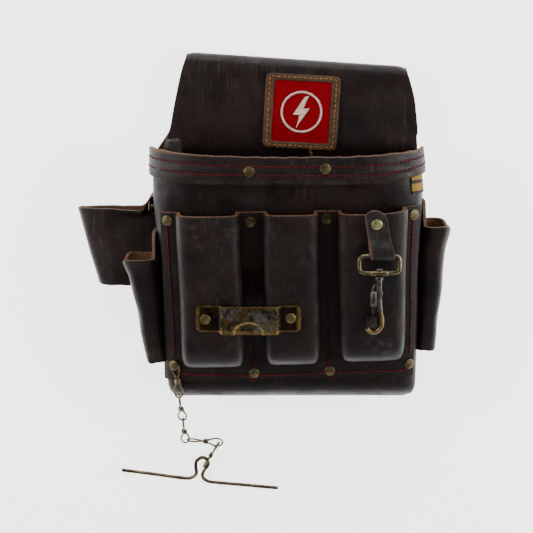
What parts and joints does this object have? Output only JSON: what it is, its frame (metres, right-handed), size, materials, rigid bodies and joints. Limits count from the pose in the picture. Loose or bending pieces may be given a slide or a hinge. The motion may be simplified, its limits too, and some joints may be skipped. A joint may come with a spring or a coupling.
{
  "type": "electrician tool pouch",
  "caption": "Dark leather belt pouch for electrician's tools: folded belt tunnel, wide main pocket, three moulded pockets, side pockets, snap hook and chain toggle.",
  "frame": {"origin": "on the rear face, on the centre line at the bag's bottom edge", "axes": "+X to the right seen from the front, +Y towards the top of the flap, +Z out of the front; the pouch lies on its back"},
  "size_m": [0.3146, 0.3923, 0.1055],
  "materials": {
    "leather": "waxed, worn",
    "raw_leather": "rough cut edge",
    "patch_leather": "matte",
    "red_field": "embroidered",
    "thread": "embroidered",
    "webbing": "woven",
    "brass": "tarnished",
    "bright_brass": "worn",
    "clip_metal": "patchy, worn",
    "steel": "dark, worn",
    "wire": "antique"
  },
  "bodies": {
    "pouch": {"back_panel": "leather", "main_pocket_shell": "leather", "rim_band": "leather", "pocket_panel": "leather", "left_side_pocket": "leather", "right_side_pocket": "leather", "tool_loop": "leather", "inner_tube": "raw_leather", "patch_frame": "patch_leather", "patch_field": "red_field", "patch_emblem": "thread", "woven_tab": "webbing", "bar_clip": "clip_metal", "clip_rivet_left": "brass", "clip_rivet_right": "brass", "rim_rivet_left": "brass", "rim_rivet_right": "brass", "strip_rivet_left_top": "brass", "strip_rivet_left_low": "brass", "strip_rivet_right_top": "brass", "strip_rivet_right_low": "brass", "margin_rivet_left_top": "brass", "margin_rivet_right_top": "brass", "margin_rivet_right_low": "brass", "chain_rivet": "brass", "loop_rivet": "brass", "tunnel_rivet_left": "brass", "tunnel_rivet_right": "brass", "snap_rivet": "bright_brass"},
    "strap": {"snap_tab": "leather"},
    "loop": {"snap_loop": "wire"},
    "hook": {"snap_hook": "steel", "bolt_spring": "steel"},
    "bolt": {"snap_bolt": "steel"},
    "link_1": {"chain_link_1": "wire"},
    "link_2": {"chain_link_2": "wire"},
    "link_3": {"chain_link_3": "wire"},
    "link_4": {"chain_link_4": "wire"},
    "link_5": {"chain_link_5": "wire"},
    "toggle": {"t_bar": "wire"}
  },
  "joints": [
    {"name": "strap_turn", "type": "hinge", "parent": "pouch", "child": "strap", "pos_m": [0.069, 0.1675, 0.1011], "axis": [0, -0.1701, 0.9854], "range_deg": [-25, 25]},
    {"name": "loop_lift", "type": "hinge", "parent": "strap", "child": "loop", "pos_m": [0.074, 0.1405, 0.09894], "axis": [-1, 0, 0], "range_deg": [0, 100]},
    {"name": "hook_swivel", "type": "hinge", "parent": "loop", "child": "hook", "pos_m": [0.072, 0.1261, 0.09826], "axis": [0, 0.9854, 0.1701], "range_deg": [0, 170]},
    {"name": "bolt_slide", "type": "slide", "parent": "hook", "child": "bolt", "axis": [0, 0.9854, 0.1701], "range_m": [0, 0.005], "stiffness_N_per_m": 150, "springref_m": -0.003, "deforming": ["bolt_spring"]},
    {"name": "link_1_turn", "type": "hinge", "parent": "pouch", "child": "link_1", "pos_m": [-0.09648, 0.03714, 0.05481], "axis": [-0.2867, -0.1666, 0.9434], "range_deg": [-6, 6]},
    {"name": "link_2_turn", "type": "hinge", "parent": "link_1", "child": "link_2", "pos_m": [-0.0936, 0.0065, 0.0475], "axis": [0, 0, 1], "range_deg": [-10, 10]},
    {"name": "link_3_turn", "type": "hinge", "parent": "link_2", "child": "link_3", "pos_m": [-0.092, -0.021, 0.026], "axis": [0, 0, 1], "range_deg": [-10, 10]},
    {"name": "link_4_turn", "type": "hinge", "parent": "link_3", "child": "link_4", "pos_m": [-0.0888, -0.0464, 0.0064], "axis": [0, 0, 1], "range_deg": [-12, 12]},
    {"name": "link_5_turn", "type": "hinge", "parent": "link_4", "child": "link_5", "pos_m": [-0.0615, -0.05, 0.0048], "axis": [0, 0, 1], "range_deg": [-12, 12]},
    {"name": "toggle_turn", "type": "hinge", "parent": "link_5", "child": "toggle", "pos_m": [-0.0722, -0.068, 0.0047], "axis": [0, 0, 1], "range_deg": [-4, 12]}
  ]
}
